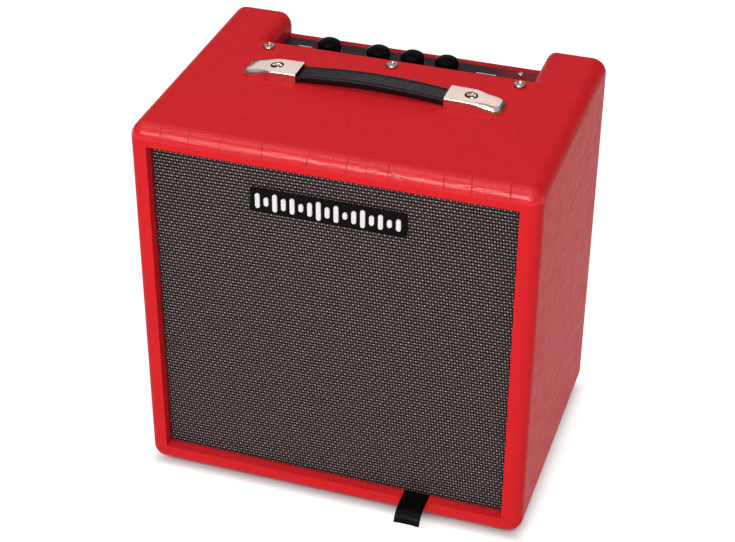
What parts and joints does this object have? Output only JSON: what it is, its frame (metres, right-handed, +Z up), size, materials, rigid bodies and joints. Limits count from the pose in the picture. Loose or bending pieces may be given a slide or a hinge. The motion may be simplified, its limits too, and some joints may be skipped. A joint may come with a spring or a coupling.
{
  "type": "guitar amplifier",
  "caption": "Guitar combo amplifier: red vinyl-covered semi-open-back cabinet, woven grille with a pull tab, strap handle and a recessed top panel of domed knobs.",
  "frame": {"origin": "on the floor, under the middle of the amplifier's overall box", "axes": "+Z up, -Y out through the grille, +X to the right of someone facing the grille"},
  "size_m": [0.38, 0.2926, 0.3979],
  "materials": {
    "vinyl": "red leather-grain vinyl glued over plywood, satin",
    "board": "plain board, black-sprayed in front",
    "grille_cloth": "dark basket weave with silver flecks",
    "ribbon": "black satin ribbon",
    "badge": "white plate on a black backing",
    "nickel": "polished nickel plate",
    "steel": "zinc-plated sheet",
    "painted_steel": "black powder coat",
    "panel": "satin charcoal screen-printed panel",
    "rubber": "black moulded rubber",
    "plastic": "satin black moulding",
    "paper": "pressed paper and doped cloth",
    "ferrite": "sintered ferrite",
    "copper": "enamelled copper winding",
    "circuit": "green soldermask",
    "aluminium": "extruded",
    "lamp": "red lens"
  },
  "bodies": {
    "cabinet": {"side_panel_left": "vinyl", "side_panel_right": "vinyl", "top_panel": "vinyl", "bottom_panel": "vinyl", "front_baffle": "board", "lower_back_panel": "vinyl", "upper_back_panel": "vinyl", "foot_front_left": "rubber", "foot_front_right": "rubber", "foot_rear_left": "rubber", "foot_rear_right": "rubber", "chassis_screw_left": "nickel", "chassis_screw_centre": "nickel", "chassis_screw_right": "nickel", "speaker_gasket": "paper", "speaker_surround": "paper", "speaker_basket": "painted_steel", "speaker_spider": "paper", "magnet_top_plate": "steel", "speaker_magnet": "ferrite", "magnet_back_plate": "steel", "speaker_terminal": "board", "control_panel": "panel", "chassis_tray": "steel", "circuit_board": "circuit", "filter_capacitor": "plastic", "transformer_core": "steel", "transformer_coil": "copper", "heatsink": "aluminium", "gain_potentiometer": "steel", "tone_potentiometer": "steel", "reverb_potentiometer": "steel", "volume_potentiometer": "steel", "input_jack": "plastic", "phones_jack": "plastic", "voicing_switch": "plastic", "power_lamp": "lamp", "panel_screw": "nickel", "mains_inlet": "plastic", "power_switch_housing": "plastic", "handle_cap_left": "nickel", "handle_cap_right": "nickel", "handle_screw_left": "nickel", "handle_screw_right": "nickel"},
    "cone_assembly": {"speaker_cone": "paper", "speaker_dust_cap": "paper", "voice_coil": "copper"},
    "gain_control": {"gain_knob": "plastic"},
    "tone_control": {"tone_knob": "plastic"},
    "reverb_control": {"reverb_knob": "plastic"},
    "volume_control": {"volume_knob": "plastic"},
    "button": {"voicing_button": "plastic"},
    "rocker": {"power_rocker": "plastic"},
    "grille": {"grille_frame": "board", "grille_cloth": "grille_cloth", "badge_plate": "badge", "pull_tab": "ribbon"},
    "grip": {"strap_grip": "rubber"},
    "strap_end_left": {"strap_left": "rubber"},
    "strap_end_right": {"strap_right": "rubber"}
  },
  "joints": [
    {"name": "cone_travel", "type": "slide", "parent": "cabinet", "child": "cone_assembly", "axis": [0, 1, 0], "range_m": [-0.003, 0.003], "stiffness_N_per_m": 2000},
    {"name": "gain_turn", "type": "hinge", "parent": "cabinet", "child": "gain_control", "pos_m": [-0.0779, 0.11048, 0.3642], "axis": [0, 0, -1], "range_deg": [-150, 150]},
    {"name": "tone_turn", "type": "hinge", "parent": "cabinet", "child": "tone_control", "pos_m": [-0.0275, 0.11048, 0.3642], "axis": [0, 0, -1], "range_deg": [-150, 150]},
    {"name": "reverb_turn", "type": "hinge", "parent": "cabinet", "child": "reverb_control", "pos_m": [0.007, 0.11048, 0.3642], "axis": [0, 0, -1], "range_deg": [-150, 150]},
    {"name": "volume_turn", "type": "hinge", "parent": "cabinet", "child": "volume_control", "pos_m": [0.0413, 0.11048, 0.3642], "axis": [0, 0, -1], "range_deg": [-150, 150]},
    {"name": "button_press", "type": "slide", "parent": "cabinet", "child": "button", "axis": [0, 0, -1], "range_m": [0, 0.0025], "stiffness_N_per_m": 300},
    {"name": "rocker_tilt", "type": "hinge", "parent": "cabinet", "child": "rocker", "pos_m": [-0.06, 0.13488, 0.3312], "axis": [1, 0, 0], "range_deg": [0, 16]},
    {"name": "grille_pull", "type": "slide", "parent": "cabinet", "child": "grille", "axis": [0, -1, 0], "range_m": [0, 0.04]},
    {"name": "strap_lift", "type": "slide", "parent": "cabinet", "child": "grip", "axis": [0, 0, 1], "range_m": [0, 0.01]},
    {"name": "strap_bend_left", "type": "hinge", "parent": "grip", "child": "strap_end_left", "pos_m": [-0.0328, 0.01548, 0.39423], "axis": [0, -1, 0], "range_deg": [0, 14.46]},
    {"name": "strap_bend_right", "type": "hinge", "parent": "grip", "child": "strap_end_right", "pos_m": [0.0278, 0.01548, 0.39423], "axis": [0, 1, 0], "range_deg": [0, 14.46]}
  ],
  "couplings": [
    {"joint": "strap_bend_left", "follows": "strap_lift", "rad_per_m": 25.064},
    {"joint": "strap_bend_right", "follows": "strap_lift", "rad_per_m": 25.064}
  ]
}
